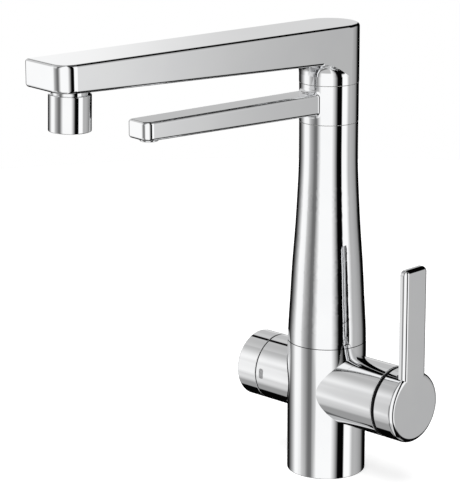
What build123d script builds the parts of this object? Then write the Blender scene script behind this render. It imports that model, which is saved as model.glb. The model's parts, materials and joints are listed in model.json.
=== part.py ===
from build123d import *
import os
from math import atan, cos, degrees, radians, sin

# Three way filtered water tap. Units are millimetres.
# Origin: centre of the base on the worktop. +Z up, the mixer handle points to +X,
# the filter knob to -X, and the sink is on the -Y side.

os.makedirs("parts", exist_ok=True)

# ---------------------------------------------------------------- driving dimensions
TOTAL_HEIGHT = 288.85     # worktop to the top of the main spout
BASE_R = 25.0             # base cylinder, covers a 35 mm hole in the worktop
NECK_R = 18.35            # column just below the spouts
SEAM_Z = 85.9             # seam between the lower and the upper body
SEAM_GAP = 0.4            # open line of every seam on the column
COLLAR_Z = 228.0          # bottom of the filter spout's collar
HEAD_Z = 252.5            # bottom of the main spout's head
SPOUT_SWING = -6.6        # both spouts stand turned this far from the square position (degrees)

# main spout
ARM_W = 18.6              # half width, also the radius of the head
ARM_REACH = 213.3         # column axis to the tip
ARM_TIP_NEAR_R = 10.5     # corner of the tip on the mixer side, seen from above
ARM_TIP_FAR_R = 2.4       # the other corner of the tip
ARM_EDGE_R = 2.0          # rounding along the edges
UNDERSIDE_Z = 266.0       # underside at the column axis
UNDERSIDE_RISE = 0.0315   # the underside climbs towards the tip
ROOT_FLARE = 9.0          # hollow rounding from the underside into the head
OUTLET_S = 195.1          # column axis to the outlet, along the underside
OUTLET_BOSS_R = 10.9      # threaded boss under the tip
OUTLET_BOSS_LENGTH = 12.9
OUTLET_BORE_R = 8.5

# aerator, measured down from the underside of the arm
AERATOR_R = 12.35
AERATOR_TOP = 2.95
AERATOR_BOTTOM = 24.1
AERATOR_BORE_R = 11.0
AERATOR_LIP = 1.2

# filter spout
COLLAR_R = 18.45
FILTER_W = 9.3            # half width of the arm
FILTER_REACH = 148.7
FILTER_TOP_Z = 247.3
FILTER_UNDER_Z = 233.85
FILTER_RISE = 0.0142
FILTER_TIP_NEAR_R = 5.4
FILTER_TIP_FAR_R = 2.4
FILTER_EDGE_R = 2.0
FILTER_ROOT_R = 2.4
NOZZLE_S = 139.9
NOZZLE_R = 5.5
NOZZLE_DROP = 1.4         # how far the nozzle stands out below the arm

# mixer
MIXER_Z = 56.8
HOUSING_R = 22.5
HOUSING_END = 55.9        # outer end of the fixed housing
HOUSING_BORE_R = 18.6
CAP_BACK = 58.7           # the gap between housing and handle is open here
HANDLE_FRONT = 73.0
CAP_WALL = 2.1
CAP_FRONT_WALL = 3.0
BLADE_W = 10.5            # half width of the lever
BLADE_BACK = 68.0
BLADE_TOP_Z = 145.8
BLADE_CORNER_R = 3.4
HANDLE_EDGE_R = 3.0
TILT_X = 36.0             # the lever tilts about this point of the mixer axis
SEAT_X = 14.0             # face that the cartridge sits on
CARTRIDGE_R = 17.4
CARRIER_R = 12.5
STEM_HALF = 4.0           # half side of the square lever stem
PORT_R = 3.4

# filter valve and knob, measured outwards from the column axis
KNOB_Z = 57.9
KNOB_R = 21.4
KNOB_BACK = 42.8
KNOB_FRONT = 58.6
KNOB_EDGE_R = 1.0
SLEEVE_END = 42.0
SLEEVE_BORE_R = 18.7
STUB_R = 17.0
STUB_END = 36.0
VALVE_SOCKET_R = 9.0
VALVE_BORE_R = 12.0       # hole in the stub round the valve's hexagon
VALVE_FOOT = 6.0          # floor of the socket in the core
SPINDLE_R = 4.0

# waterway core, tubes and the stem that carries the spouts
CORE_R = 21.3
CORE_TOP = 84.0
INLET_PCD_R = 9.5         # the three inlets stand on this radius
INLET_R = 4.5             # tapped M10 x 1
INLET_DEPTH = 12.0
STUD_PCD_R = 12.0
STUD_R = 2.5              # tapped M6
STUD_DEPTH = 12.0
DRILL_R = 3.2
RISER_X = 3.5
RISER_TUBE_R = 5.5
FILTER_RISER_X = -14.5
FILTER_TUBE_R = 2.6
SHAFT_R = 11.5            # running surface for both spouts
SHAFT_TOP = 276.0
STEM_FOOT_Z = 200.0
STEM_FOOT_R = 12.4
STEM_FILTER_X = -6.5
SEAL_BORE_R = 11.95       # bore of the collar and the head round the seals
BUSH_R = 14.0
RUNNING = 0.05            # radial clearance of every turning fit
SNUG = 0.05               # clearance between fixed pieces

DOWN_TILT = degrees(atan(UNDERSIDE_RISE))
FORWARD = Vector(0, -1, 0).rotate(Axis.Z, SPOUT_SWING)
MIXER_SIDE = Vector(1, 0, 0).rotate(Axis.Z, SPOUT_SWING)


# ---------------------------------------------------------------- planes
def mixer_plane(x):
    """Across the mixer axis at x: local X is +Y, local Y is up, normal outwards."""
    return Plane(origin=(x, 0, MIXER_Z), x_dir=(0, 1, 0), z_dir=(1, 0, 0))


def knob_plane(distance):
    """Across the filter valve axis, at a distance from the column axis, normal outwards."""
    return Plane(origin=(-distance, 0, KNOB_Z), x_dir=(0, -1, 0), z_dir=(-1, 0, 0))


def level(z):
    return Plane.XY.offset(z)


def spout_level(z):
    """Horizontal plane that turns with the spouts: local X is the reach."""
    return Plane(origin=(0, 0, z), x_dir=FORWARD, z_dir=(0, 0, 1))


def spout_section():
    """Upright plane along the spouts: local X is the reach, local Y is up."""
    return Plane(origin=(0, 0, 0), x_dir=FORWARD, z_dir=FORWARD.cross(Vector(0, 0, 1)))


def outlet_plane(depth):
    """Square to the main spout's underside at its outlet, depth mm below it, normal down."""
    down = FORWARD * sin(radians(DOWN_TILT)) - Vector(0, 0, 1) * cos(radians(DOWN_TILT))
    foot = FORWARD * OUTLET_S + Vector(0, 0, UNDERSIDE_Z + UNDERSIDE_RISE * OUTLET_S)
    return Plane(origin=foot + down * depth, x_dir=MIXER_SIDE, z_dir=down)


def nozzle_plane(depth):
    """Level plane under the filter spout's outlet, depth mm below its underside."""
    foot = FORWARD * NOZZLE_S + Vector(0, 0, FILTER_UNDER_Z + FILTER_RISE * NOZZLE_S - depth)
    return Plane(origin=foot, x_dir=MIXER_SIDE, z_dir=(0, 0, -1))


# ---------------------------------------------------------------- repeated forms
def tube(plane, outer, inner, length):
    """A plain ring, tube or disc that grows from a plane along its normal."""
    with BuildPart() as piece:
        with BuildSketch(plane):
            Circle(outer)
            if inner:
                Circle(inner, mode=Mode.SUBTRACT)
        extrude(amount=length)
    return piece


def o_rings(planes, radius, wire):
    """One round rubber ring in each plane."""
    with BuildPart() as piece:
        for plane in planes:
            with Locations(plane):
                Torus(radius, wire)
    return piece


def bore(plane, radius, length):
    """Cut a round hole from a plane along its normal, in the piece being built."""
    with BuildSketch(plane) as hole:
        Circle(radius)
    extrude(hole.sketch, amount=length, mode=Mode.SUBTRACT)


def groove(plane, outer, inner, width):
    """Cut a ring groove, centred on a plane."""
    with BuildSketch(plane) as ring:
        Circle(outer)
        Circle(inner, mode=Mode.SUBTRACT)
    extrude(ring.sketch, amount=width / 2, both=True, mode=Mode.SUBTRACT)


def grub_screw(plane, radius, length, tip_radius, tip_length):
    """Grub screw that points along the plane's normal, with a hex socket at its outer end."""
    with BuildPart() as piece:
        with BuildSketch(plane):
            Circle(radius)
        extrude(amount=length)
        with BuildSketch(plane.offset(length)):
            Circle(tip_radius)
        extrude(amount=tip_length)
        with BuildSketch(plane):
            RegularPolygon(radius * 0.55, 6)
        extrude(amount=length * 0.5, mode=Mode.SUBTRACT)
    return piece


def arm_outline(reach, half_width, near_r, far_r):
    """Plan of an arm: straight sides from the column axis to a tip, rounder on the mixer side."""
    with BuildSketch(Plane.XY, mode=Mode.PRIVATE) as outline:
        with Locations((reach / 2, 0)):
            Rectangle(reach, 2 * half_width)
        fillet(outline.vertices().group_by(Axis.X)[-1].sort_by(Axis.Y)[-1], near_r)
        fillet(outline.vertices().group_by(Axis.X)[-1].sort_by(Axis.Y)[0], far_r)
    return outline.sketch


def polar(radius, angle):
    return (radius * cos(radians(angle)), radius * sin(radians(angle)))


# ---------------------------------------------------------------- base casting
SPIGOT_R = 20.2
SPIGOT_TOP = 94.0
SPIGOT_BORE_R = 17.8
SPIGOT_SEAL_Z = 90.0
SPIGOT_SEAL_WIRE = 0.85
SPIGOT_SEAL_R = SPIGOT_R - SPIGOT_SEAL_WIRE + 0.05
BASE_SEAL_INNER = 22.4
BASE_SEAL_OUTER = 24.0
BASE_SEAL_DEPTH = 1.5

with BuildPart() as lower_body:
    with BuildSketch(level(0)):
        Circle(BASE_R)
    extrude(amount=SEAM_Z)
    fillet(lower_body.edges().group_by(Axis.Z)[0], 0.4)
    with BuildSketch(level(SEAM_Z)):
        Circle(SPIGOT_R)
    extrude(amount=SPIGOT_TOP - SEAM_Z)
    with BuildSketch(mixer_plane(0)):
        Circle(HOUSING_R)
    extrude(amount=HOUSING_END)
    fillet(lower_body.edges().group_by(Axis.X)[-1], 0.5)
    with BuildSketch(knob_plane(0)):
        Circle(STUB_R)
    extrude(amount=STUB_END)
    bore(level(0), CORE_R + SNUG, CORE_TOP + 0.2)
    bore(level(CORE_TOP), SPIGOT_BORE_R, SPIGOT_TOP - CORE_TOP)
    bore(mixer_plane(SEAT_X), HOUSING_BORE_R, HOUSING_END - SEAT_X)
    bore(knob_plane(VALVE_SOCKET_R), VALVE_BORE_R, STUB_END)
    groove(level(SPIGOT_SEAL_Z), SPIGOT_R + 1, SPIGOT_SEAL_R - SPIGOT_SEAL_WIRE - SNUG, 2.0)
    groove(level(0), BASE_SEAL_OUTER + SNUG, BASE_SEAL_INNER - SNUG, 2 * BASE_SEAL_DEPTH)

base_seal = tube(level(0), BASE_SEAL_OUTER, BASE_SEAL_INNER, BASE_SEAL_DEPTH - SNUG)
body_seal = o_rings([level(SPIGOT_SEAL_Z)], SPIGOT_SEAL_R, SPIGOT_SEAL_WIRE)

# ---------------------------------------------------------------- waterway core
WAIST_R = 14.2
WAIST = (15.0, 36.0)
COLD, HOT, FILTERED = -60, 60, 180          # inlet positions round the core
STUDS = (120, 240)
SUPPLY_PORT_DROP = 5.5                      # supply ports below the mixer axis
MIXED_PORT_RISE = 8.5                       # mixed water port above it
FILTER_SUPPLY_X = -3.0
FILTER_DRILL_R = 2.0
FILTER_CROSS_Z = 17.5
TUBE_SOCKET = 11.0

with BuildPart() as waterway_core:
    with BuildSketch(level(0)):
        Circle(CORE_R)
    extrude(amount=CORE_TOP)
    # slimmer between the inlets and the valve seats
    groove(level(sum(WAIST) / 2), CORE_R + 1, WAIST_R, WAIST[1] - WAIST[0])
    # seat for the mixer cartridge and socket for the filter valve
    bore(mixer_plane(SEAT_X), CARTRIDGE_R + 0.2, CORE_R)
    bore(knob_plane(VALVE_FOOT), VALVE_SOCKET_R, CORE_R)
    for angle in (COLD, HOT, FILTERED):
        with BuildSketch(level(0)):
            with Locations(polar(INLET_PCD_R, angle)):
                Circle(INLET_R)
        extrude(amount=INLET_DEPTH, mode=Mode.SUBTRACT)
    for angle in STUDS:
        with BuildSketch(level(0)):
            with Locations(polar(STUD_PCD_R, angle)):
                Circle(STUD_R)
        extrude(amount=STUD_DEPTH, mode=Mode.SUBTRACT)
    # cold and hot: up from the inlet, then across to the seat
    for angle in (COLD, HOT):
        x, y = polar(INLET_PCD_R, angle)
        with BuildSketch(level(INLET_DEPTH)):
            with Locations((x, y)):
                Circle(DRILL_R)
        extrude(amount=MIXER_Z - SUPPLY_PORT_DROP - INLET_DEPTH, mode=Mode.SUBTRACT)
        with BuildSketch(mixer_plane(x)):
            with Locations((y, -SUPPLY_PORT_DROP)):
                Circle(DRILL_R)
        extrude(amount=SEAT_X - x, mode=Mode.SUBTRACT)
    # mixed water: back from the seat, then up into the riser tube
    with BuildSketch(mixer_plane(RISER_X)):
        with Locations((0, MIXED_PORT_RISE)):
            Circle(PORT_R)
    extrude(amount=SEAT_X - RISER_X, mode=Mode.SUBTRACT)
    with BuildSketch(level(MIXER_Z + MIXED_PORT_RISE)):
        with Locations((RISER_X, 0)):
            Circle(RISER_TUBE_R - 1)
    extrude(amount=CORE_TOP - MIXER_Z - MIXED_PORT_RISE, mode=Mode.SUBTRACT)
    # filtered water: up, across to the middle, up again and out into the valve socket
    with BuildSketch(level(INLET_DEPTH)):
        with Locations((-INLET_PCD_R, 0)):
            Circle(FILTER_DRILL_R)
    extrude(amount=FILTER_CROSS_Z - INLET_DEPTH, mode=Mode.SUBTRACT)
    cross = Plane(origin=(FILTER_SUPPLY_X, 0, FILTER_CROSS_Z), x_dir=(0, -1, 0), z_dir=(-1, 0, 0))
    bore(cross, FILTER_DRILL_R, INLET_PCD_R + FILTER_SUPPLY_X)
    with BuildSketch(level(FILTER_CROSS_Z)):
        with Locations((FILTER_SUPPLY_X, 0)):
            Circle(FILTER_DRILL_R)
    extrude(amount=KNOB_Z - FILTER_CROSS_Z, mode=Mode.SUBTRACT)
    bore(knob_plane(-FILTER_SUPPLY_X), FILTER_DRILL_R, VALVE_FOOT + FILTER_SUPPLY_X)
    with BuildSketch(level(KNOB_Z)):
        with Locations((FILTER_RISER_X, 0)):
            Circle(FILTER_DRILL_R)
    extrude(amount=CORE_TOP - KNOB_Z, mode=Mode.SUBTRACT)
    # sockets for the two tubes, each with a groove for its seal
    for x, radius in ((RISER_X, RISER_TUBE_R), (FILTER_RISER_X, FILTER_TUBE_R)):
        with BuildSketch(level(CORE_TOP - TUBE_SOCKET)):
            with Locations((x, 0)):
                Circle(radius + SNUG)
        extrude(amount=TUBE_SOCKET, mode=Mode.SUBTRACT)
        with BuildSketch(level(CORE_TOP - TUBE_SOCKET / 2)):
            with Locations((x, 0)):
                Circle(radius + 1.5)
        extrude(amount=0.8, both=True, mode=Mode.SUBTRACT)

# ---------------------------------------------------------------- tapered column
FLANK = [(24.85, SEAM_Z + SEAM_GAP), (24.55, 96.5), (23.62, 112.4), (22.3, 136.0),
         (20.55, 159.5), (19.2, 182.8), (NECK_R, 212.0)]
NECK_TOP = COLLAR_Z - SEAM_GAP
CAVITY = [(20.4, SPIGOT_TOP + 1), (19.3, 130.0), (15.9, 180.0)]     # radius and height of its wall
WASHER_INNER, WASHER_OUTER = 14.5, 17.5
WASHER_SUNK = 0.7
BODY_SCREW_R = 1.5
BODY_SCREW_Z = 92.6

with BuildPart() as upper_body:
    with BuildSketch(Plane.XZ):
        with BuildLine():
            flank = Spline(FLANK, tangents=((0, 1), (0, 1)))
            Polyline(
                flank @ 1,
                (NECK_R, NECK_TOP),
                (STEM_FOOT_R + SNUG, NECK_TOP),
                (STEM_FOOT_R + SNUG, STEM_FOOT_Z - 4),
                *reversed(CAVITY),
                (SPIGOT_R + SNUG, SPIGOT_TOP + 1),
                (SPIGOT_R + SNUG, SEAM_Z + SEAM_GAP),
                flank @ 0,
            )
        make_face()
    revolve(axis=Axis.Z)
    groove(level(NECK_TOP), WASHER_OUTER + SNUG, WASHER_INNER - SNUG, 2 * WASHER_SUNK)
    # tapped hole at the rear for the locking screw
    rear = Plane(origin=(0, BASE_R, BODY_SCREW_Z), x_dir=(1, 0, 0), z_dir=(0, -1, 0))
    bore(rear, BODY_SCREW_R + SNUG, BASE_R - SPIGOT_R)

lower_slide_washer = tube(level(NECK_TOP - WASHER_SUNK), WASHER_OUTER, WASHER_INNER, 1.0)
body_screw = grub_screw(rear.offset(0.6), BODY_SCREW_R, 3.6, 1.0, 0.5)

# ---------------------------------------------------------------- spout stem
STEM_BORE_R = 5.0
STEM_FILTER_R = 1.9
STEM_SEAL_WIRE = 0.95
STEM_SEAL_R = SHAFT_R + 0.4 - STEM_SEAL_WIRE
FILTER_SEAL_Z = (236.6, 244.9)
FILTER_CHANNEL_Z = sum(FILTER_SEAL_Z) / 2
SPOUT_SEAL_Z = (261.0, 264.6)
KEEPER_Z = 268.9          # ring groove that the spout screw runs in
KEEPER_R = 10.0
STEM_TIP_R = 10.0
STEM_TIP_Z = 271.6

with BuildPart() as spout_stem:
    with BuildSketch(level(STEM_FOOT_Z)):
        Circle(STEM_FOOT_R)
    extrude(amount=NECK_TOP - 1 - STEM_FOOT_Z)
    with BuildSketch(level(NECK_TOP - 1)):
        Circle(SHAFT_R)
    extrude(amount=STEM_TIP_Z - NECK_TOP + 1)
    with BuildSketch(level(STEM_TIP_Z)):
        Circle(STEM_TIP_R)
    extrude(amount=SHAFT_TOP - STEM_TIP_Z)
    for z in FILTER_SEAL_Z + SPOUT_SEAL_Z:
        groove(level(z), SHAFT_R + 1, STEM_SEAL_R - STEM_SEAL_WIRE - SNUG, 2 * STEM_SEAL_WIRE + 0.2)
    groove(level(KEEPER_Z), SHAFT_R + 1, KEEPER_R, 4.6)
    # ring channel for the filtered water between its two seals
    groove(level(FILTER_CHANNEL_Z), SHAFT_R + 1, SHAFT_R - 1.2, 4.4)
    with BuildSketch(level(STEM_FOOT_Z)):
        with Locations((RISER_X, 0)):
            Circle(STEM_BORE_R)
    extrude(amount=SHAFT_TOP - STEM_FOOT_Z, mode=Mode.SUBTRACT)
    with BuildSketch(level(STEM_FOOT_Z)):
        with Locations((STEM_FILTER_X, 0)):
            Circle(STEM_FILTER_R)
    extrude(amount=FILTER_CHANNEL_Z + 1.5 - STEM_FOOT_Z, mode=Mode.SUBTRACT)
    across = Plane(origin=(STEM_FILTER_X, 0, FILTER_CHANNEL_Z), x_dir=(0, -1, 0), z_dir=(-1, 0, 0))
    bore(across, STEM_FILTER_R - 0.3, SHAFT_R)
    for x, radius in ((RISER_X, RISER_TUBE_R), (STEM_FILTER_X, FILTER_TUBE_R)):
        with BuildSketch(level(STEM_FOOT_Z)):
            with Locations((x, 0)):
                Circle(radius + SNUG)
        extrude(amount=TUBE_SOCKET, mode=Mode.SUBTRACT)

filter_stem_seals = o_rings([level(z) for z in FILTER_SEAL_Z], STEM_SEAL_R, STEM_SEAL_WIRE)
spout_stem_seals = o_rings([level(z) for z in SPOUT_SEAL_Z], STEM_SEAL_R, STEM_SEAL_WIRE)

# ---------------------------------------------------------------- tubes in the column
TUBE_FOOT_Z = CORE_TOP - TUBE_SOCKET + 0.5
TUBE_TOP_Z = STEM_FOOT_Z + TUBE_SOCKET - 0.5
FILTER_TUBE_ROUTE = [
    (FILTER_RISER_X, 0, TUBE_FOOT_Z),
    (FILTER_RISER_X, 0, 120.0),
    (STEM_FILTER_X, 0, 172.0),
    (STEM_FILTER_X, 0, TUBE_TOP_Z),
]

with BuildPart() as riser_tube:
    with BuildSketch(level(TUBE_FOOT_Z)):
        with Locations((RISER_X, 0)):
            Circle(RISER_TUBE_R)
            Circle(RISER_TUBE_R - 1, mode=Mode.SUBTRACT)
    extrude(amount=TUBE_TOP_Z - TUBE_FOOT_Z)

with BuildPart() as filter_tube:
    with BuildLine() as filter_route:
        FilletPolyline(*FILTER_TUBE_ROUTE, radius=60)
    with BuildSketch(Plane(origin=filter_route.line @ 0, z_dir=(0, 0, 1))):
        Circle(FILTER_TUBE_R)
        Circle(FILTER_TUBE_R - 0.8, mode=Mode.SUBTRACT)
    sweep(path=filter_route.line)

with BuildPart() as tube_seals:
    for x, radius in ((RISER_X, RISER_TUBE_R), (FILTER_RISER_X, FILTER_TUBE_R)):
        with Locations((x, 0, CORE_TOP - TUBE_SOCKET / 2)):
            Torus(radius + 0.75, 0.7)

# ---------------------------------------------------------------- main spout
BUSH_LENGTH = 5.0
CHANNEL_Z = (276.2, 285.0)
CHANNEL_W = 14.0
CHANNEL_START = 8.0
CHANNEL_LENGTH = OUTLET_S - CHANNEL_START + 2 * OUTLET_BORE_R
KEEPER_SCREW_R = 2.45

with BuildPart() as root_flare:
    with BuildSketch(Plane.XZ):
        with BuildLine():
            flare_z = UNDERSIDE_Z + UNDERSIDE_RISE * (ARM_W + ROOT_FLARE)
            hollow = RadiusArc((ARM_W, flare_z - ROOT_FLARE), (ARM_W + ROOT_FLARE, flare_z), ROOT_FLARE)
            Polyline(
                hollow @ 1,
                (ARM_W + ROOT_FLARE, flare_z + 3),
                (0, flare_z + 3),
                (0, flare_z - ROOT_FLARE),
                hollow @ 0,
            )
        make_face()
    revolve(axis=Axis.Z)
    with BuildSketch(spout_level(HEAD_Z)):
        add(arm_outline(ARM_REACH, ARM_W, ARM_TIP_NEAR_R, ARM_TIP_FAR_R))
    extrude(amount=TOTAL_HEIGHT - HEAD_Z, mode=Mode.INTERSECT)

with BuildPart() as main_spout:
    with BuildSketch(spout_level(UNDERSIDE_Z - 2)):
        add(arm_outline(ARM_REACH, ARM_W, ARM_TIP_NEAR_R, ARM_TIP_FAR_R))
        Circle(ARM_W)
    extrude(amount=TOTAL_HEIGHT - UNDERSIDE_Z + 2)
    # the sloping underside
    with BuildSketch(spout_section()):
        with BuildLine():
            Polyline(
                (-ARM_W - 1, UNDERSIDE_Z - UNDERSIDE_RISE * (ARM_W + 1)),
                (ARM_REACH + 1, UNDERSIDE_Z + UNDERSIDE_RISE * (ARM_REACH + 1)),
                (ARM_REACH + 1, UNDERSIDE_Z - 5),
                (-ARM_W - 1, UNDERSIDE_Z - 5),
                close=True,
            )
        make_face()
    extrude(amount=ARM_W + 1, both=True, mode=Mode.SUBTRACT)
    fillet(main_spout.faces().sort_by(Axis.Z)[0].outer_wire().edges(), ARM_EDGE_R)
    fillet(main_spout.faces().sort_by(Axis.Z)[-1].outer_wire().edges(), ARM_EDGE_R)
    with BuildSketch(level(HEAD_Z)):
        Circle(ARM_W)
    extrude(amount=CHANNEL_Z[1] - HEAD_Z)
    add(root_flare.part)
    with BuildSketch(outlet_plane(-2.0)):
        Circle(OUTLET_BOSS_R)
    extrude(amount=OUTLET_BOSS_LENGTH + 2.0)
    # bores for the bush, the seals and the stem
    bore(level(HEAD_Z), BUSH_R + SNUG, BUSH_LENGTH + 0.6)
    bore(level(HEAD_Z), SEAL_BORE_R, CHANNEL_Z[1] - HEAD_Z)
    # waterway through the arm and down to the outlet
    with BuildSketch(spout_level(CHANNEL_Z[0])):
        with Locations(((CHANNEL_START + OUTLET_S) / 2, 0)):
            RectangleRounded(CHANNEL_LENGTH, 2 * CHANNEL_W, OUTLET_BORE_R - 1)
    extrude(amount=CHANNEL_Z[1] - CHANNEL_Z[0], mode=Mode.SUBTRACT)
    bore(outlet_plane(OUTLET_BOSS_LENGTH), OUTLET_BORE_R, -OUTLET_BOSS_LENGTH - 6.5)
    # tapped hole at the rear for the screw that keeps the spout on the stem
    keeper = Plane(origin=-FORWARD * ARM_W + Vector(0, 0, KEEPER_Z), x_dir=MIXER_SIDE, z_dir=FORWARD)
    bore(keeper, KEEPER_SCREW_R + SNUG, ARM_W - SEAL_BORE_R + 1)

spout_lower_bush = tube(level(HEAD_Z + 0.5), BUSH_R, SHAFT_R + RUNNING, BUSH_LENGTH)
spout_upper_bush = tube(level(STEM_TIP_Z + 0.3), SEAL_BORE_R - SNUG, STEM_TIP_R + RUNNING, 3.8)
spout_screw = grub_screw(keeper.offset(0.6), KEEPER_SCREW_R, 5.4, 2.0, 2.2)

# ---------------------------------------------------------------- aerator
SEAL_THICK = 1.6
INSERT_TOP = OUTLET_BOSS_LENGTH + SEAL_THICK + 0.2
INSERT_R = AERATOR_BORE_R - 0.15
JET_R = 0.75
JET_STEP = 2.6

with BuildPart() as aerator_housing:
    with BuildSketch(outlet_plane(AERATOR_TOP)):
        Circle(AERATOR_R)
    extrude(amount=AERATOR_BOTTOM - AERATOR_TOP)
    fillet(aerator_housing.edges(), 0.5)
    bore(outlet_plane(AERATOR_TOP), AERATOR_BORE_R, AERATOR_BOTTOM - AERATOR_TOP - AERATOR_LIP)
    bore(outlet_plane(AERATOR_TOP), AERATOR_BORE_R - 1.2, AERATOR_BOTTOM - AERATOR_TOP)

with BuildPart() as aerator_insert:
    with BuildSketch(outlet_plane(INSERT_TOP)):
        Circle(INSERT_R)
    extrude(amount=AERATOR_BOTTOM - AERATOR_LIP - SNUG - INSERT_TOP)
    # rings of small jets
    with BuildSketch(outlet_plane(INSERT_TOP)):
        Circle(JET_R)
        for ring in (1, 2, 3):
            with PolarLocations(ring * JET_STEP, 6 * ring):
                Circle(JET_R)
    extrude(amount=AERATOR_BOTTOM - INSERT_TOP, mode=Mode.SUBTRACT)

aerator_seal = tube(outlet_plane(OUTLET_BOSS_LENGTH + 0.1), INSERT_R, OUTLET_BORE_R, SEAL_THICK)

# ---------------------------------------------------------------- filter spout
FILTER_CHANNEL_R = 2.3
NOZZLE_FLANGE = 0.5       # level of the nozzle's flange below the underside
NOZZLE_STUB_R = 3.6
NOZZLE_STUB = 2.4
NOZZLE_BORE_R = 2.2

with BuildPart() as filter_arm:
    with BuildSketch(spout_level(FILTER_UNDER_Z - 1)):
        add(arm_outline(FILTER_REACH, FILTER_W, FILTER_TIP_NEAR_R, FILTER_TIP_FAR_R))
    extrude(amount=FILTER_TOP_Z - FILTER_UNDER_Z + 1)
    with BuildSketch(spout_section()):
        with BuildLine():
            Polyline(
                (-1, FILTER_UNDER_Z - FILTER_RISE),
                (FILTER_REACH + 1, FILTER_UNDER_Z + FILTER_RISE * (FILTER_REACH + 1)),
                (FILTER_REACH + 1, FILTER_UNDER_Z - 5),
                (-1, FILTER_UNDER_Z - 5),
                close=True,
            )
        make_face()
    extrude(amount=FILTER_W + 1, both=True, mode=Mode.SUBTRACT)
    fillet(filter_arm.faces().sort_by(Axis.Z)[0].outer_wire().edges(), FILTER_EDGE_R)
    fillet(filter_arm.faces().sort_by(Axis.Z)[-1].outer_wire().edges(), FILTER_EDGE_R)

with BuildPart() as filter_spout:
    with BuildSketch(level(COLLAR_Z)):
        Circle(COLLAR_R)
    extrude(amount=HEAD_Z - SEAM_GAP - COLLAR_Z)
    add(filter_arm.part)
    # hollow rounding all round the root of the arm
    root_edges = filter_spout.edges().filter_by(
        lambda e: all(abs(Vector(v.X, v.Y, 0).length - COLLAR_R) < 0.01 for v in e.vertices())
        and COLLAR_Z + 1 < e.center().Z < HEAD_Z - 2
    )
    fillet(root_edges, FILTER_ROOT_R)
    bore(level(COLLAR_Z), SEAL_BORE_R, HEAD_Z - COLLAR_Z)
    bore(level(COLLAR_Z), BUSH_R + SNUG, BUSH_LENGTH + 0.6)
    bore(level(HEAD_Z - SEAM_GAP), BUSH_R + SNUG, -BUSH_LENGTH - 0.6)
    groove(level(HEAD_Z - SEAM_GAP), WASHER_OUTER + SNUG, BUSH_R, 2 * WASHER_SUNK)
    # waterway through the arm and down to the nozzle
    along = Plane(origin=(0, 0, FILTER_CHANNEL_Z), x_dir=MIXER_SIDE, z_dir=FORWARD)
    bore(along, FILTER_CHANNEL_R, NOZZLE_S + 1.6 * NOZZLE_BORE_R)
    bore(nozzle_plane(NOZZLE_FLANGE), NOZZLE_STUB_R + SNUG, -NOZZLE_STUB - NOZZLE_FLANGE)
    bore(nozzle_plane(0), NOZZLE_BORE_R, -5.0)

filter_lower_bush = tube(level(COLLAR_Z + 0.5), BUSH_R, SHAFT_R + RUNNING, BUSH_LENGTH)
filter_upper_bush = tube(level(HEAD_Z - SEAM_GAP - 0.5), BUSH_R, SHAFT_R + RUNNING, -BUSH_LENGTH)
upper_slide_washer = tube(level(HEAD_Z - SEAM_GAP - WASHER_SUNK), WASHER_OUTER, WASHER_INNER, 1.0)

with BuildPart() as filter_nozzle:
    with BuildSketch(nozzle_plane(NOZZLE_FLANGE)):
        Circle(NOZZLE_R)
    extrude(amount=NOZZLE_DROP - NOZZLE_FLANGE)
    fillet(filter_nozzle.edges().group_by(Axis.Z)[0], 0.4)
    with BuildSketch(nozzle_plane(NOZZLE_FLANGE)):
        Circle(NOZZLE_STUB_R)
    extrude(amount=-NOZZLE_STUB - NOZZLE_FLANGE + 0.1)
    bore(nozzle_plane(NOZZLE_DROP), NOZZLE_BORE_R, -10.0)

filter_nozzle_seal = tube(nozzle_plane(NOZZLE_FLANGE), NOZZLE_R - 0.3, NOZZLE_STUB_R + SNUG, -0.4)

# ---------------------------------------------------------------- mixer cartridge
CARTRIDGE_FOOT = SEAT_X + 1.2
CARTRIDGE_END = 48.0
CAVITY_X = 20.2
FIXED_DISC = (20.25, 23.2)
MOVING_DISC = (23.25, 26.2)
CARRIER = (26.3, 45.9)
PORT_Y = INLET_PCD_R * sin(radians(HOT))
PORTS = ((-PORT_Y, -SUPPLY_PORT_DROP), (PORT_Y, -SUPPLY_PORT_DROP), (0, MIXED_PORT_RISE))
MOUTH_R = 10.6            # opening of the cartridge for the tilting stem
NUT_END = 54.4
NUT_BORE_R = 12.6
SLIP_RING = (54.6, 57.2)
SLIP_BORE_R = 13.2
SLIP_FLANGE_R = 22.0
SLIP_FLANGE = 0.55
PIN_R = 1.5
SLOT_PLAY = 0.6           # slot round the stem at rest

with BuildPart() as cartridge_port_seals:
    with BuildSketch(mixer_plane(SEAT_X)):
        with Locations(*PORTS):
            Circle(PORT_R + 1.4)
            Circle(PORT_R, mode=Mode.SUBTRACT)
    extrude(amount=CARTRIDGE_FOOT - SEAT_X)

with BuildPart() as mixer_cartridge:
    with BuildSketch(mixer_plane(CARTRIDGE_FOOT)):
        Circle(CARTRIDGE_R)
        with Locations(*PORTS):
            Circle(PORT_R, mode=Mode.SUBTRACT)
    extrude(amount=CARTRIDGE_END - CARTRIDGE_FOOT)
    bore(mixer_plane(CAVITY_X), CARRIER_R + RUNNING, CARRIER[1] + 0.1 - CAVITY_X)
    bore(mixer_plane(CAVITY_X), MOUTH_R, CARTRIDGE_END - CAVITY_X)

with BuildPart() as fixed_mixing_disc:
    with BuildSketch(mixer_plane(FIXED_DISC[0])):
        Circle(CARRIER_R - 0.1)
        with Locations(*PORTS):
            Circle(PORT_R - 0.6, mode=Mode.SUBTRACT)
    extrude(amount=FIXED_DISC[1] - FIXED_DISC[0])

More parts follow.
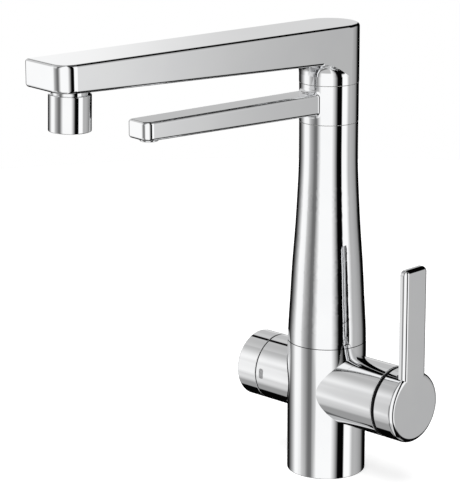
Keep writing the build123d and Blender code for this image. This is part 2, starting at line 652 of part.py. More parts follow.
with BuildPart() as moving_mixing_disc:
    with BuildSketch(mixer_plane(MOVING_DISC[0])):
        Circle(CARRIER_R - 0.5)
    extrude(amount=MOVING_DISC[1] - MOVING_DISC[0])
    # mixing pocket that joins the ports
    with BuildSketch(mixer_plane(MOVING_DISC[0])):
        SlotCenterToCenter(8.0, 7.0)
    extrude(amount=1.6, mode=Mode.SUBTRACT)

with BuildPart() as stem_carrier:
    with BuildSketch(mixer_plane(CARRIER[0])):
        Circle(CARRIER_R)
    extrude(amount=CARRIER[1] - CARRIER[0])
    # slot that lets the stem tilt one way only
    with BuildSketch(Plane.XZ):
        with BuildLine():
            Polyline(
                (CARRIER[0] - 1, MIXER_Z - STEM_HALF - SLOT_PLAY),
                (CARRIER[0] - 1, MIXER_Z + STEM_HALF + SLOT_PLAY + 4),
                (TILT_X, MIXER_Z + STEM_HALF + SLOT_PLAY),
                (CARRIER[1] + 1, MIXER_Z + STEM_HALF + SLOT_PLAY),
                (CARRIER[1] + 1, MIXER_Z - STEM_HALF - SLOT_PLAY - 5),
                (TILT_X, MIXER_Z - STEM_HALF - SLOT_PLAY),
                close=True,
            )
        make_face()
    extrude(amount=STEM_HALF + 0.1, both=True, mode=Mode.SUBTRACT)
    pivot_axis = Plane(origin=(TILT_X, 0, MIXER_Z), x_dir=(1, 0, 0), z_dir=(0, -1, 0))
    with BuildSketch(pivot_axis):
        Circle(PIN_R + 0.02)
    extrude(amount=CARRIER_R, both=True, mode=Mode.SUBTRACT)

with BuildPart() as pivot_pin:
    with BuildSketch(pivot_axis):
        Circle(PIN_R)
    extrude(amount=CARRIER_R - 0.6, both=True)

with BuildPart() as cartridge_nut:
    with BuildSketch(mixer_plane(CARTRIDGE_END + SNUG)):
        Circle(HOUSING_BORE_R - SNUG)
        Circle(NUT_BORE_R, mode=Mode.SUBTRACT)
    extrude(amount=NUT_END - CARTRIDGE_END - SNUG)
    # slots for the ring spanner
    with BuildSketch(mixer_plane(NUT_END - 2)):
        with PolarLocations(NUT_BORE_R + 1, 6):
            Rectangle(3.0, 3.0)
    extrude(amount=3.0, mode=Mode.SUBTRACT)

with BuildPart() as slip_ring:
    with BuildSketch(mixer_plane(SLIP_RING[0])):
        Circle(HOUSING_BORE_R - 0.2)
    extrude(amount=SLIP_RING[1] - SLIP_RING[0])
    # thin flange over the end face of the housing
    with BuildSketch(mixer_plane(HOUSING_END + SNUG)):
        Circle(SLIP_FLANGE_R)
    extrude(amount=SLIP_FLANGE)
    bore(mixer_plane(SLIP_RING[0]), SLIP_BORE_R, SLIP_RING[1] - SLIP_RING[0])

# ---------------------------------------------------------------- mixer handle and stem
HUB_R = 7.0
HUB_BACK = 63.4
SCREW_TIP = 1.2
WEB_HALF = 4.0
HANDLE_SCREW_X = 66.4
HANDLE_SCREW_R = 2.45
HANDLE_SCREW_SUNK = 2.5
STEM_INNER = 28.0
STEM_OUTER = HANDLE_FRONT - CAP_FRONT_WALL - 0.2

with BuildPart() as mixer_handle:
    with BuildSketch(mixer_plane(CAP_BACK)):
        Circle(HOUSING_R)
    extrude(amount=HANDLE_FRONT - CAP_BACK)
    with BuildSketch(mixer_plane(BLADE_BACK)) as blade:
        with Locations((0, (BLADE_TOP_Z - MIXER_Z) / 2)):
            Rectangle(2 * BLADE_W, BLADE_TOP_Z - MIXER_Z)
        fillet(blade.vertices().group_by(Axis.Y)[-1], BLADE_CORNER_R)
    extrude(amount=HANDLE_FRONT - BLADE_BACK)
    fillet(mixer_handle.faces().sort_by(Axis.X)[-1].outer_wire().edges(), HANDLE_EDGE_R)
    bore(mixer_plane(CAP_BACK), HOUSING_R - CAP_WALL, HANDLE_FRONT - CAP_FRONT_WALL - CAP_BACK)
    # hub for the stem, and a web down to the rim for its screw
    with BuildSketch(mixer_plane(HUB_BACK)):
        Circle(HUB_R)
        with Locations((0, -HOUSING_R / 2)):
            Rectangle(2 * WEB_HALF, HOUSING_R - 1)
    extrude(amount=HANDLE_FRONT - CAP_FRONT_WALL + 0.5 - HUB_BACK)
    with BuildSketch(mixer_plane(CAP_BACK)):
        Rectangle(2 * STEM_HALF + 0.1, 2 * STEM_HALF + 0.1)
    extrude(amount=STEM_OUTER + 0.1 - CAP_BACK, mode=Mode.SUBTRACT)
    screw_axis = Plane(origin=(HANDLE_SCREW_X, 0, MIXER_Z - HOUSING_R))
    bore(screw_axis, HANDLE_SCREW_R + SNUG, HOUSING_R)

HANDLE_SCREW_LENGTH = HOUSING_R - STEM_HALF - HANDLE_SCREW_SUNK - SCREW_TIP - SNUG
handle_screw = grub_screw(
    screw_axis.offset(HANDLE_SCREW_SUNK), HANDLE_SCREW_R, HANDLE_SCREW_LENGTH, 1.6, SCREW_TIP
)

with BuildPart() as lever_stem:
    with BuildSketch(mixer_plane(STEM_INNER)):
        Rectangle(2 * STEM_HALF, 2 * STEM_HALF)
    extrude(amount=STEM_OUTER - STEM_INNER)
    chamfer(lever_stem.edges().group_by(Axis.X)[0], 0.8)
    with BuildSketch(pivot_axis):
        Circle(PIN_R + RUNNING)
    extrude(amount=STEM_HALF + 1, both=True, mode=Mode.SUBTRACT)

# ---------------------------------------------------------------- filter valve
VALVE_BODY_END = 38.0
VALVE_HEX = (24.0, 29.0)
VALVE_HEX_R = 11.4
VALVE_NECK_R = 7.4
FIXED_FILTER = (7.3, 9.2)
MOVING_FILTER = (9.25, 11.2)
DRIVER = (11.25, 13.0)
DISC_R = 6.6
DISC_PORT_R = 1.8
DISC_PORTS_R = 3.2
DRIVER_PIN_R = 1.3
SPINDLE_FOOT = 16.9
SPINDLE_END = 50.0
SPINDLE_SEAL_X = 25.0
SPINDLE_SEAL_WIRE = 0.7

filter_valve_seal = tube(knob_plane(VALVE_FOOT + 0.02), 8.6, 6.0, 0.9)

with BuildPart() as filter_valve_body:
    with BuildSketch(knob_plane(VALVE_FOOT + 1.0)):
        Circle(VALVE_SOCKET_R - SNUG)
    extrude(amount=VALVE_BODY_END - VALVE_FOOT - 1.0)
    # spanner flats outside the core, and a slimmer neck
    with BuildSketch(knob_plane(VALVE_HEX[0])):
        RegularPolygon(VALVE_HEX_R, 6)
    extrude(amount=VALVE_HEX[1] - VALVE_HEX[0])
    neck_length = VALVE_BODY_END - VALVE_HEX[1] - 2
    groove(knob_plane(VALVE_BODY_END), VALVE_SOCKET_R + 1, VALVE_NECK_R, 2 * neck_length)
    bore(knob_plane(VALVE_FOOT + 1.0), DISC_R + 0.3, 13.6)
    bore(knob_plane(VALVE_FOOT + 1.0), SPINDLE_R + RUNNING, VALVE_BODY_END)
    # side windows where the water leaves, above the disc
    window = Plane(origin=(FILTER_RISER_X, 0, KNOB_Z))
    for side in (window, window.rotated((90, 0, 0))):
        with BuildSketch(side):
            Circle(DISC_PORT_R)
        extrude(amount=VALVE_SOCKET_R + 1, both=True, mode=Mode.SUBTRACT)

with BuildPart() as fixed_filter_disc:
    with BuildSketch(knob_plane(FIXED_FILTER[0])):
        Circle(DISC_R)
        with Locations((DISC_PORTS_R, 0), (-DISC_PORTS_R, 0)):
            Circle(DISC_PORT_R, mode=Mode.SUBTRACT)
    extrude(amount=FIXED_FILTER[1] - FIXED_FILTER[0])

with BuildPart() as moving_filter_disc:
    with BuildSketch(knob_plane(MOVING_FILTER[0])):
        Circle(DISC_R)
        with Locations((0, DISC_PORTS_R), (0, -DISC_PORTS_R)):
            Circle(DISC_PORT_R, mode=Mode.SUBTRACT)
    extrude(amount=MOVING_FILTER[1] - MOVING_FILTER[0])

with BuildPart() as filter_spindle:
    with BuildSketch(knob_plane(DRIVER[0])):
        Circle(DISC_R)
        with Locations((0, DISC_PORTS_R), (0, -DISC_PORTS_R)):
            Circle(DISC_PORT_R, mode=Mode.SUBTRACT)
    extrude(amount=DRIVER[1] - DRIVER[0])
    with BuildSketch(knob_plane(DRIVER[0])):
        Circle(DRIVER_PIN_R)
    extrude(amount=SPINDLE_FOOT + 0.1 - DRIVER[0])
    with BuildSketch(knob_plane(SPINDLE_FOOT)):
        Circle(SPINDLE_R)
    extrude(amount=SPINDLE_END - SPINDLE_FOOT)
    groove(knob_plane(SPINDLE_SEAL_X), SPINDLE_R + 1, SPINDLE_R - 2 * SPINDLE_SEAL_WIRE - SNUG, 1.7)

spindle_seal = o_rings([knob_plane(SPINDLE_SEAL_X)], SPINDLE_R - SPINDLE_SEAL_WIRE, SPINDLE_SEAL_WIRE)

# ---------------------------------------------------------------- sleeve, knob and its fittings
SLEEVE_RING = (30.0, 46.0)
SLEEVE_RING_R = SLEEVE_BORE_R - SNUG
MARK_X = -37.6
MARK_Z = KNOB_Z + 1.0
MARK_DEPTH = 0.5

with BuildPart() as index_mark:
    with BuildSketch(Plane(origin=(MARK_X, -KNOB_R - 1, MARK_Z), x_dir=(1, 0, 0), z_dir=(0, 1, 0))):
        RectangleRounded(3.6, 6.6, 1.2)
    extrude(amount=5.0)
    with BuildSketch(knob_plane(SLEEVE_RING[0])):
        Circle(KNOB_R)
        Circle(KNOB_R - MARK_DEPTH, mode=Mode.SUBTRACT)
    extrude(amount=SLEEVE_END - SLEEVE_RING[0], mode=Mode.INTERSECT)

with BuildPart() as filter_sleeve:
    with BuildSketch(knob_plane(5.0)):
        Circle(KNOB_R)
        Circle(SLEEVE_BORE_R, mode=Mode.SUBTRACT)
    extrude(amount=SLEEVE_END - 5.0)
    bore(level(KNOB_Z - KNOB_R - 1), BASE_R + 0.4, 2 * KNOB_R + 2)
    fillet(filter_sleeve.edges().group_by(Axis.X)[0].sort_by(SortBy.RADIUS)[-1], 0.3)
    add(index_mark.part, mode=Mode.SUBTRACT)

ring_length = SLEEVE_RING[1] - SLEEVE_RING[0]
sleeve_ring = tube(knob_plane(SLEEVE_RING[0]), SLEEVE_RING_R, STUB_R + SNUG, ring_length)

KNOB_HUB_R = 8.0
KNOB_WEB = 6.4
ADAPTER_R = 6.0
ADAPTER_FOOT = 42.5
KNOB_END_WALL = 2.6
KNOB_SCREW_S = 52.4
KNOB_SCREW_R = 2.0
KNOB_SCREW_SUNK = 2.2

with BuildPart() as filter_knob:
    with BuildSketch(knob_plane(KNOB_BACK)):
        Circle(KNOB_R)
    extrude(amount=KNOB_FRONT - KNOB_BACK)
    fillet(filter_knob.edges().group_by(Axis.X)[0], KNOB_EDGE_R)
    fillet(filter_knob.edges().group_by(Axis.X)[-1], 0.3)
    bore(knob_plane(KNOB_BACK), SLEEVE_RING_R + 0.3, KNOB_FRONT - KNOB_END_WALL - KNOB_BACK)
    with BuildSketch(knob_plane(SLEEVE_RING[1] + 0.6)):
        Circle(KNOB_HUB_R)
        with Locations((0, -KNOB_R / 2)):
            Rectangle(KNOB_WEB, KNOB_R - 2)
    extrude(amount=KNOB_FRONT - 2 - SLEEVE_RING[1] - 0.6)
    bore(knob_plane(KNOB_BACK), ADAPTER_R + SNUG, KNOB_FRONT - 4 - KNOB_BACK)
    knob_screw_axis = Plane(origin=(-KNOB_SCREW_S, 0, KNOB_Z - KNOB_R))
    bore(knob_screw_axis, KNOB_SCREW_R + SNUG, KNOB_R)

with BuildPart() as knob_adapter:
    with BuildSketch(knob_plane(ADAPTER_FOOT)):
        Circle(ADAPTER_R)
    extrude(amount=KNOB_FRONT - 4.2 - ADAPTER_FOOT)
    bore(knob_plane(ADAPTER_FOOT), SPINDLE_R + SNUG, SPINDLE_END + SNUG - ADAPTER_FOOT)

KNOB_SCREW_LENGTH = KNOB_R - ADAPTER_R - KNOB_SCREW_SUNK - SCREW_TIP - SNUG
knob_screw = grub_screw(
    knob_screw_axis.offset(KNOB_SCREW_SUNK), KNOB_SCREW_R, KNOB_SCREW_LENGTH, 1.4, SCREW_TIP
)

# ---------------------------------------------------------------- write every piece
pieces = {
    "lower_body": lower_body,
    "upper_body": upper_body,
    "waterway_core": waterway_core,
    "base_seal": base_seal,
    "body_seal": body_seal,
    "body_screw": body_screw,
    "mixer_cartridge": mixer_cartridge,
    "cartridge_port_seals": cartridge_port_seals,
    "fixed_mixing_disc": fixed_mixing_disc,
    "cartridge_nut": cartridge_nut,
    "slip_ring": slip_ring,
    "riser_tube": riser_tube,
    "filter_tube": filter_tube,
    "tube_seals": tube_seals,
    "spout_stem": spout_stem,
    "filter_stem_seals": filter_stem_seals,
    "spout_stem_seals": spout_stem_seals,
    "lower_slide_washer": lower_slide_washer,
    "filter_valve_body": filter_valve_body,
    "filter_valve_seal": filter_valve_seal,
    "fixed_filter_disc": fixed_filter_disc,
    "filter_sleeve": filter_sleeve,
    "sleeve_ring": sleeve_ring,
    "index_mark": index_mark,
    "main_spout": main_spout,
    "spout_lower_bush": spout_lower_bush,
    "spout_upper_bush": spout_upper_bush,
    "spout_screw": spout_screw,
    "aerator_housing": aerator_housing,
    "aerator_insert": aerator_insert,
    "aerator_seal": aerator_seal,
    "filter_spout": filter_spout,
    "filter_lower_bush": filter_lower_bush,
    "filter_upper_bush": filter_upper_bush,
    "upper_slide_washer": upper_slide_washer,
    "filter_nozzle": filter_nozzle,
    "filter_nozzle_seal": filter_nozzle_seal,
    "stem_carrier": stem_carrier,
    "pivot_pin": pivot_pin,
    "moving_mixing_disc": moving_mixing_disc,
    "lever_stem": lever_stem,
    "mixer_handle": mixer_handle,
    "handle_screw": handle_screw,
    "filter_knob": filter_knob,
    "knob_adapter": knob_adapter,
    "knob_screw": knob_screw,
    "filter_spindle": filter_spindle,
    "moving_filter_disc": moving_filter_disc,
    "spindle_seal": spindle_seal,
}

for name, piece in pieces.items():
    piece.part.label = name
    export_step(piece.part, f"parts/{name}.step")
    print(name, len(piece.part.solids()), round(piece.part.volume, 1))
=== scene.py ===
# %% [markdown]
# # A three way filtered water tap
# The object is a chrome kitchen tap with two spouts. The flat upper spout gives hot and cold water,
# the slim lower one gives filtered water. The lever on the right works the mixer, the knob on the
# left opens the filtered water. Every solid piece comes from the CAD model, already at its real
# size, so this lesson is about what CAD can't give: the finishes, the fine parts and the light.

# %% Load the CAD model
import json
from math import cos, pi, radians, sin

import bpy
from mathutils import Matrix, Vector


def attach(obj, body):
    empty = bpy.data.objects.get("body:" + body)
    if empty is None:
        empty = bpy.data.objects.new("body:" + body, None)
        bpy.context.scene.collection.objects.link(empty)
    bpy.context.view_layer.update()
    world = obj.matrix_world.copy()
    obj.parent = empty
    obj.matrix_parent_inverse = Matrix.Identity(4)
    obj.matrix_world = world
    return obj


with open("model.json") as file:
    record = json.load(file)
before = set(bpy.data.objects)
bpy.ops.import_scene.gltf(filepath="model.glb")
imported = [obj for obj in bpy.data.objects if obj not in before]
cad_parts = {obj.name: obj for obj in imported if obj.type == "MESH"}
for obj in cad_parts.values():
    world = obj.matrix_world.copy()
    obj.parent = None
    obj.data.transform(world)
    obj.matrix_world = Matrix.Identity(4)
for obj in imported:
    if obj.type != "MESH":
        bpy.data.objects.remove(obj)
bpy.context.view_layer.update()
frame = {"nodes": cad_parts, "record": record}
nodes = frame["nodes"]
record = frame["record"]

# %% [markdown]
# ## The camera
# The photograph looks down at the tap by fifteen degrees, from its right front corner, with a long
# lens from about 1.4 m. A long lens keeps the two spouts nearly parallel. The camera could be
# turned by hand until it fits, but three angles and one distance say the same thing exactly.

# %% Camera
VIEW_AZIMUTH = radians(44.03)
VIEW_ELEVATION = radians(15.13)
VIEW_ROLL = radians(-0.20)
VIEW_DISTANCE = 1.38907
LOOKED_AT = Vector((-0.04419, -0.04272, 0.14452))
LENS = 158.85
SENSOR = 36

back = Vector((sin(VIEW_AZIMUTH) * cos(VIEW_ELEVATION),
               -cos(VIEW_AZIMUTH) * cos(VIEW_ELEVATION),
               sin(VIEW_ELEVATION)))
level_right = Vector((cos(VIEW_AZIMUTH), sin(VIEW_AZIMUTH), 0))
level_up = back.cross(level_right)
right = level_right * cos(VIEW_ROLL) + level_up * sin(VIEW_ROLL)
up = level_up * cos(VIEW_ROLL) - level_right * sin(VIEW_ROLL)
placed = Matrix((right, up, back)).transposed().to_4x4()
placed.translation = LOOKED_AT + back * VIEW_DISTANCE

bpy.ops.object.camera_add()
camera = bpy.context.object
camera.name = "camera"
camera.matrix_world = placed
camera.data.sensor_fit = "VERTICAL"
camera.data.sensor_width = SENSOR
camera.data.sensor_height = SENSOR
camera.data.lens = LENS
camera.data.clip_start = 0.1
camera.data.clip_end = 20
bpy.context.scene.camera = camera
bpy.context.scene.view_settings.view_transform = "Standard"
print("camera at", [round(v, 3) for v in placed.translation])

# %% [markdown]
# ## The studio
# Polished chrome has almost no colour of its own: it shows the room. So the room is the finish, and
# it is laid out like a studio for metal: a wide white soft box in front, a black flag beside it
# that draws the dark line down the column, white cards and grey walls. The wall behind the tap is
# nearly black. A round piece mirrors it only at its very edge, and that draws the thin dark outline.
#
# All this could be real planes round the tap, but planes would stand in the way of a camera that
# goes round it. Here the room is painted on the sky instead. The wall runs round by compass angle,
# in one colour ramp.

# %% The wall, round the compass
WALL = [  # compass angle from +X towards +Y, and the grey there
    (-5, 0.01), (3, 0.01),                                    # black flag
    (5.5, 0.99), (23, 0.99),                                  # narrow white card
    (28, 0.88), (31, 0.82), (33.5, 0.73), (36, 0.695),        # it fades
    (50, 0.70), (74, 0.57),                                   # grey wall on the lever's side
    (86, 0.12), (94, 0.02), (150, 0.03), (166, 0.10),         # black wall behind
    (172, 0.22), (179, 0.42), (187, 0.58), (195, 0.74),       # it brightens
    (207, 0.98), (219, 0.98), (226, 0.96), (229.5, 0.94),     # white card on the knob's side
    (231.5, 0.82), (240, 0.68), (257, 0.42), (265, 0.44),     # grey gap
    (282, 0.98), (324, 0.98),                                 # wide soft box in front
    (333, 0.79), (340, 0.53), (343.8, 0.30), (345.2, 0.02),   # and down to the flag
]
FULL_TURN = 360
world = bpy.data.worlds.new("studio")
bpy.context.scene.world = world
world.use_nodes = True
sky = world.node_tree
sky.nodes.clear()
print("wall with", len(WALL), "stops, from", WALL[0][0], "to", WALL[-1][0], "degrees")

# %% [markdown]
# A ramp knows only one number, so each direction of the sky is first turned into a compass angle
# and a height, both in degrees. A Math node does one step, and a small helper adds and joins them.

# %% Compass angle and height of each direction
def sky_math(operation, first, second=0.0, third=0.0):
    """One Math node of the sky, fed by sockets or plain numbers."""
    node = sky.nodes.new("ShaderNodeMath")
    node.operation = operation
    for socket, value in zip(node.inputs, (first, second, third)):
        if isinstance(value, bpy.types.NodeSocket):
            sky.links.new(value, socket)
        else:
            socket.default_value = value
    return node.outputs[0]


direction = sky.nodes.new("ShaderNodeTexCoord").outputs["Generated"]
axes = sky.nodes.new("ShaderNodeSeparateXYZ")
sky.links.new(direction, axes.inputs[0])
compass = sky_math("ARCTAN2", axes.outputs["Y"], axes.outputs["X"])
compass = sky_math("MULTIPLY", compass, 180 / pi)
height = sky_math("MULTIPLY", sky_math("ARCSINE", axes.outputs["Z"]), 180 / pi)
print("sky has", len(sky.nodes), "nodes so far")

# %% [markdown]
# The greys of the wall are chosen as a screen shows them, but light adds up in linear values, so a
# helper turns the one into the other. A new ramp comes with two stops. All but one are taken out,
# and then each pair of the list becomes a stop.

# %% Paint the wall
def grey(display):
    """Linear light for a grey as a screen shows it, from 0 to 1."""
    return ((display + 0.055) / 1.055) ** 2.4 if display > 0.04 else display / 12.92


ramp_start = WALL[0][0]
past_start = sky_math("SUBTRACT", compass, ramp_start)
turn = sky_math("DIVIDE", sky_math("WRAP", past_start, FULL_TURN, 0), FULL_TURN)
wall = sky.nodes.new("ShaderNodeValToRGB")
sky.links.new(turn, wall.inputs[0])
ramp = wall.color_ramp.elements
while len(ramp) > 1:
    ramp.remove(ramp[0])
for place, (angle, shade) in enumerate(WALL):
    share = (angle - ramp_start) / FULL_TURN
    stop = ramp[0] if place == 0 else ramp.new(share)
    stop.position = share
    stop.color = (*[grey(shade)] * 3, 1)
print("wall painted with", len(ramp), "stops")

# %% [markdown]
# Above and below the wall the studio has its own cards. Each is a soft-edged patch: where it hangs,
# how wide and how high it is, and how bright. The two long flags beside the arms draw the thin dark
# line that runs along every rounded edge. A card further down the list covers the ones before it.

# %% Cards and flags
CARDS = {  # compass middle, half width, edge, height middle, half height, edge, grey
    "ceiling_flag": (12, 27, 8, 66, 22, 6, 0.02),
    "ceiling_grey": (82, 38, 14, 78, 14, 8, 0.34),
    "rear_card": (169, 33, 6, 33, 26, 6, 0.78),
    "ceiling_rear": (170, 34, 10, 72, 24, 8, 0.70),
    "ceiling_dark": (-128, 26, 10, 66, 22, 6, 0.20),
    "rear_grey": (-142, 16, 10, 55, 23, 26, 0.71),
    "rear_strip": (158, 5, 3, 46, 16, 3, 0.03),
    "top_card": (133, 8, 4, 20, 14, 3, 0.735),
    "arm_card": (133, 8, 4, 2, 8.9, 0.6, 0.82),
    "tip_card": (144, 8, 6, 2, 8.9, 0.6, 0.95),
    "edge_flag_high": (87, 40, 6, 39, 21, 8, 0.01),
    "wall_grey": (-126, 14, 9, -31, 9, 10, 0.83),
    "wall_grey_high": (-119.5, 12, 5, 22, 13, 8, 0.83),
    "floor_flag": (8, 28, 6, -60, 30, 8, 0.03),
    "floor_grey": (-125, 36, 10, -66, 24, 6, 0.40),
    "floor_front": (-66, 26, 10, -66, 24, 8, 0.74),
    "floor_right": (66, 26, 8, -78, 14, 8, 0.58),
    "floor_left": (-160, 36, 8, -56, 20, 20, 0.60),
    "floor_rear": (156, 32, 4, -60, 28, 8, 0.02),
    "edge_flag_low": (84, 50, 6, -45, 18, 6, 0.01),
}
HALF_TURN = 180


def hang_card(below, where):
    """Lay one soft-edged card over the grey that is there already."""
    middle, half_width, edge, high, half_height, rim, shade = where
    past_middle = sky_math("SUBTRACT", compass, middle)
    off = sky_math("ABSOLUTE", sky_math("WRAP", past_middle, HALF_TURN, -HALF_TURN))
    rise = sky_math("ABSOLUTE", sky_math("SUBTRACT", height, high))
    covers = []
    for distance, half, soft in ((off, half_width, edge), (rise, half_height, rim)):
        fade = sky.nodes.new("ShaderNodeMapRange")
        fade.interpolation_type = "SMOOTHSTEP"
        fade.inputs["From Min"].default_value = half + soft / 2
        fade.inputs["From Max"].default_value = half - soft / 2
        sky.links.new(distance, fade.inputs["Value"])
        covers.append(fade.outputs["Result"])
    mix = sky.nodes.new("ShaderNodeMix")
    mix.data_type = "FLOAT"
    sky.links.new(sky_math("MULTIPLY", *covers), mix.inputs[0])
    sky.links.new(below, mix.inputs[2])
    mix.inputs[3].default_value = grey(shade)
    return mix.outputs[0]


studio = wall.outputs["Color"]
for where in CARDS.values():
    studio = hang_card(studio, where)
print(len(CARDS), "cards and flags")

# %% [markdown]
# The camera itself sees a plain white background, as in a catalogue picture, while light that goes
# on to the tap still comes from the studio.

# %% White background
STUDIO_STRENGTH = 1.1
ray = sky.nodes.new("ShaderNodeLightPath")
light = sky.nodes.new("ShaderNodeBackground")
white = sky.nodes.new("ShaderNodeBackground")
choose = sky.nodes.new("ShaderNodeMixShader")
sky_out = sky.nodes.new("ShaderNodeOutputWorld")
sky.links.new(studio, light.inputs["Color"])
light.inputs["Strength"].default_value = STUDIO_STRENGTH
white.inputs["Color"].default_value = (1, 1, 1, 1)
sky.links.new(ray.outputs["Is Camera Ray"], choose.inputs[0])
sky.links.new(light.outputs[0], choose.inputs[1])
sky.links.new(white.outputs[0], choose.inputs[2])
sky.links.new(choose.outputs[0], sky_out.inputs[0])
print("studio light at strength", STUDIO_STRENGTH)

# %% [markdown]
# ## The worktop
# A pale sheet under the tap gives it a place to stand and takes its soft shadow. The camera sees
# the sheet a little brighter than it is lit, so that it runs into the white background without a
# horizon. The chrome doesn't see it: its reflections stay those of the studio.

# %% Worktop
WORKTOP_RADIUS = 0.9
WORKTOP_HEIGHT = -0.0002
WORKTOP_GLOW = 0.62

bpy.ops.object.select_all(action="DESELECT")
bpy.ops.mesh.primitive_circle_add(vertices=96, radius=WORKTOP_RADIUS, fill_type="NGON",
                                  location=(0, 0, WORKTOP_HEIGHT))
worktop = bpy.context.object
worktop.name = "worktop"
worktop.visible_glossy = False
pale = bpy.data.materials.new("pale_worktop")
pale.use_nodes = True
paint = pale.node_tree
sheet = paint.nodes["Principled BSDF"]
sheet.inputs["Base Color"].default_value = (0.85, 0.85, 0.85, 1)
sheet.inputs["Roughness"].default_value = 0.9
glow = paint.nodes.new("ShaderNodeEmission")
glow.inputs["Strength"].default_value = WORKTOP_GLOW
seen = paint.nodes.new("ShaderNodeLightPath")
both = paint.nodes.new("ShaderNodeAddShader")
pick = paint.nodes.new("ShaderNodeMixShader")
paint.links.new(sheet.outputs[0], both.inputs[0])
paint.links.new(glow.outputs[0], both.inputs[1])
paint.links.new(seen.outputs["Is Camera Ray"], pick.inputs[0])
paint.links.new(sheet.outputs[0], pick.inputs[1])
paint.links.new(both.outputs[0], pick.inputs[2])
paint.links.new(pick.outputs[0], paint.nodes["Material Output"].inputs["Surface"])
worktop.data.materials.append(pale)
print("worktop", 2 * WORKTOP_RADIUS, "m across")

# %% [markdown]
# ## The lamp
# One wide disc of light above the tap, a little in front, makes the soft shadow. A small lamp would
# draw a hard one, and the sky alone gives hardly any. The chrome doesn't mirror the lamp.

# %% Overhead lamp
LAMP_PLACE = (0.3, -0.5, 1.6)
LAMP_TARGET = Vector((0, 0, 0.1))
LAMP_WIDTH = 1.6
LAMP_POWER = 22

bpy.ops.object.light_add(type="AREA", location=LAMP_PLACE)
lamp = bpy.context.object
lamp.name = "overhead_lamp"
lamp.data.shape = "DISK"
lamp.data.size = LAMP_WIDTH
lamp.data.energy = LAMP_POWER
lamp.rotation_euler = (LAMP_TARGET - lamp.location).to_track_quat("-Z", "Y").to_euler()
lamp.visible_glossy = False
print("lamp at", [round(v, 2) for v in lamp.location])

# %% [markdown]
# ## Finishes
# A finish is a colour that drifts a little, a roughness that drifts a little, and a fine relief.
# All three could be painted, but a noise pattern on the piece's own coordinates needs no picture
# and stays put when the piece moves. One helper lays the three out. What tells the finishes apart
# is the scale of the noise, how far it is stretched along the tool's path, and how shiny it is.

# %% One finish from noise
CLOUD_GRAINS = 12        # a cloud of the colour is as wide as this many grains
CLOUD_RANGE = (0.35, 0.65)
SPECK_RANGE = (0.3, 0.7)


def finish(name, colours, roughness, grain, stretch=(1, 1, 1), relief=0.0, metal=0.0, coat=0.0):
    """A material whose colour, roughness and relief follow noise; grain is in millimetres."""
    material = bpy.data.materials.new(name)
    material.use_nodes = True
    tree = material.node_tree
    add, link = tree.nodes.new, tree.links.new
    shader = tree.nodes["Principled BSDF"]
    shader.inputs["Metallic"].default_value = metal
    shader.inputs["Coat Weight"].default_value = coat

    place = add("ShaderNodeTexCoord")
    lay = add("ShaderNodeMapping")
    lay.inputs["Scale"].default_value = stretch
    link(place.outputs["Object"], lay.inputs["Vector"])

    cloud = add("ShaderNodeTexNoise")
    cloud.inputs["Scale"].default_value = 1000 / (CLOUD_GRAINS * grain)
    cloud.inputs["Detail"].default_value = 3
    link(lay.outputs["Vector"], cloud.inputs["Vector"])
    speck = add("ShaderNodeTexNoise")
    speck.inputs["Scale"].default_value = 1000 / grain
    speck.inputs["Detail"].default_value = 4
    link(lay.outputs["Vector"], speck.inputs["Vector"])

    tint = add("ShaderNodeValToRGB")
    for stop, position, colour in zip(tint.color_ramp.elements, CLOUD_RANGE, colours):
        stop.position = position
        stop.color = (*colour, 1)
    link(cloud.outputs["Fac"], tint.inputs["Fac"])
    link(tint.outputs["Color"], shader.inputs["Base Color"])

    shine = add("ShaderNodeMapRange")
    shine.inputs["From Min"].default_value = SPECK_RANGE[0]
    shine.inputs["From Max"].default_value = SPECK_RANGE[1]
    shine.inputs["To Min"].default_value = roughness[0]
    shine.inputs["To Max"].default_value = roughness[1]
    link(speck.outputs["Fac"], shine.inputs["Value"])
    link(shine.outputs["Result"], shader.inputs["Roughness"])

    if relief:
        bump = add("ShaderNodeBump")
        bump.inputs["Strength"].default_value = 0.5
        bump.inputs["Distance"].default_value = relief / 1000
        link(speck.outputs["Fac"], bump.inputs["Height"])
        link(bump.outputs["Normal"], shader.inputs["Normal"])
    return material


# %% [markdown]
# Chrome plate is polished like a mirror, so its roughness stays near nothing and it has no relief:
# only a faint cloud of slightly duller plate. The pieces inside are machined brass and drawn steel,
# with the fine scratches of the tool, and moulded plastic, rubber and lapped ceramic.

# %% All finishes of the tap
FINISHES = {
    "chrome": finish("polished_chrome", [(0.885, 0.89, 0.90), (0.91, 0.915, 0.92)],
                     (0.004, 0.016), grain=2.5, metal=1.0),
    "brass": finish("machined_brass", [(0.66, 0.45, 0.17), (0.78, 0.57, 0.26)],
                    (0.20, 0.38), grain=0.5, stretch=(1, 1, 6), relief=0.02, metal=1.0),
    "steel": finish("drawn_steel", [(0.50, 0.505, 0.51), (0.62, 0.625, 0.63)],
                    (0.22, 0.40), grain=0.4, stretch=(5, 5, 0.4), relief=0.015, metal=1.0),
    "rubber": finish("seal_rubber", [(0.012, 0.012, 0.012), (0.03, 0.03, 0.031)],
                     (0.55, 0.80), grain=0.25, relief=0.03),
    "black_plastic": finish("black_ring_plastic", [(0.006, 0.006, 0.006), (0.014, 0.014, 0.015)],
                            (0.35, 0.55), grain=0.3, relief=0.015),
    "index_grey": finish("index_inlay", [(0.30, 0.30, 0.305), (0.38, 0.38, 0.385)],
                         (0.35, 0.50), grain=0.25, relief=0.01),
    "white_plastic": finish("slide_plastic", [(0.72, 0.72, 0.68), (0.82, 0.82, 0.79)],
                            (0.35, 0.50), grain=0.4, relief=0.01),
    "ceramic": finish("lapped_ceramic", [(0.80, 0.78, 0.74), (0.88, 0.87, 0.84)],
                      (0.08, 0.16), grain=0.3, relief=0.003, coat=0.4),
}
slot_of = {piece["node"]: piece["material_slot"] for piece in record["subparts"]}
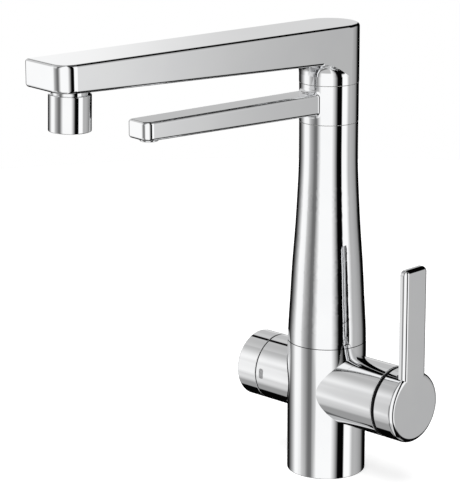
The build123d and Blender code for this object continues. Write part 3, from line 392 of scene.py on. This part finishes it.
for name, node in nodes.items():
    for place in node.material_slots:
        place.material = FINISHES[slot_of[name]]
print({slot: sum(1 for s in slot_of.values() if s == slot) for slot in FINISHES})

# %% [markdown]
# ## The dot on the handle
# On top of the handle's cap, beside the foot of the lever, sits one tiny dark dot. It is made as a
# dark plastic pin in a fine grey rim, let into the cap. It could be a spot of paint in the
# material, but a piece of its own stays crisp close up. The cap turns about the mixer's axis, so
# that axis, read from the joint, says where the cap's middle is.

# %% Where the dot sits
CAP_ALONG = 0.0657            # the dot's place along the mixer's axis
CAP_RADIUS = 0.0225
DOT_LEAN = radians(21.4)      # from straight up, towards the sink
joint_places = {joint["name"]: joint["pos_m"] for joint in record["behaviour"]["joints"]}
cap_middle = Vector((CAP_ALONG, *joint_places["temperature_turn"][1:]))
outward = Vector((0, -sin(DOT_LEAN), cos(DOT_LEAN)))
print("dot on the cap at", [round(1000 * v, 1) for v in cap_middle + outward * CAP_RADIUS])

# %% [markdown]
# A short cylinder is a start: its top face is inset and sunk for the rim, and the outer edge is
# rounded. Then it is turned to stand on the cap, and its place is applied to its mesh.

# %% The handle's dot
DOT_RADIUS = 0.0010
DOT_DEPTH = 0.0006
DOT_SUNK = 0.00024            # how deep its middle lies below the cap's surface
RIM_WIDTH = 0.00022
RIM_WALL = 0.00004
RIM_STEP = 0.00006
RIM_ROUNDING = 0.00005

bpy.ops.object.select_all(action="DESELECT")
bpy.ops.mesh.primitive_cylinder_add(vertices=40, radius=DOT_RADIUS, depth=DOT_DEPTH)
dot = bpy.context.object
dot.name = "handle_dot"
bpy.ops.object.mode_set(mode="EDIT")
bpy.ops.mesh.select_mode(type="FACE")
bpy.ops.mesh.select_all(action="DESELECT")
bpy.ops.object.mode_set(mode="OBJECT")
for face in dot.data.polygons:
    face.select = face.normal.z > 0.9
bpy.ops.object.mode_set(mode="EDIT")
bpy.ops.mesh.inset(thickness=RIM_WIDTH, depth=0)
bpy.ops.mesh.inset(thickness=RIM_WALL, depth=-RIM_STEP)
bpy.ops.object.mode_set(mode="OBJECT")
rounding = dot.modifiers.new("rounding", "BEVEL")
rounding.width = RIM_ROUNDING
rounding.segments = 2
rounding.limit_method = "ANGLE"
bpy.ops.object.modifier_apply(modifier="rounding")
dot.rotation_euler = outward.to_track_quat("Z", "Y").to_euler()
dot.location = cap_middle + outward * (CAP_RADIUS - DOT_SUNK)
bpy.ops.object.transform_apply(location=True, rotation=True, scale=True)
bpy.ops.object.shade_smooth_by_angle(angle=radians(40))
print("dot with", len(dot.data.polygons), "faces")

# %% The dot's two finishes
PIN_RADIUS = DOT_RADIUS - 0.0002
dot.data.materials.append(FINISHES["index_grey"])
dot.data.materials.append(FINISHES["black_plastic"])
for face in dot.data.polygons:
    from_middle = (face.center - cap_middle).cross(outward).length
    face.material_index = 1 if from_middle < PIN_RADIUS else 0
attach(dot, "mixer_lever")
print(sum(face.material_index for face in dot.data.polygons), "faces of the dot are its dark pin")
